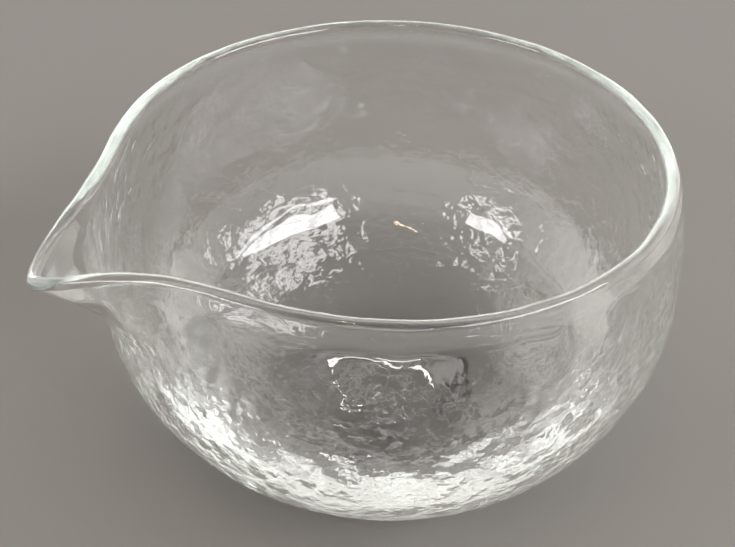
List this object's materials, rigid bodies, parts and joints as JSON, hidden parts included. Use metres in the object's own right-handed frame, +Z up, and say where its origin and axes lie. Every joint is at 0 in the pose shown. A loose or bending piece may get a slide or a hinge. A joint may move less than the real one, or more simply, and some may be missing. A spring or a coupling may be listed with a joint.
{
  "type": "mixing bowl",
  "caption": "Hand-blown clear glass mixing bowl, round with a full belly, a rounded rim, a flat base and a pulled pouring lip on one side.",
  "frame": {"origin": "on the bowl's axis, in the plane of the flat base that it stands on", "axes": "+Z up along the bowl's axis; the pouring lip points along -X"},
  "size_m": [0.191, 0.17, 0.098],
  "materials": {
    "glass": "clear hand-blown glass with a faint green tint, rippled outside and smooth inside"
  },
  "bodies": {
    "root": {"glass_bowl": "glass"}
  },
  "joints": []
}
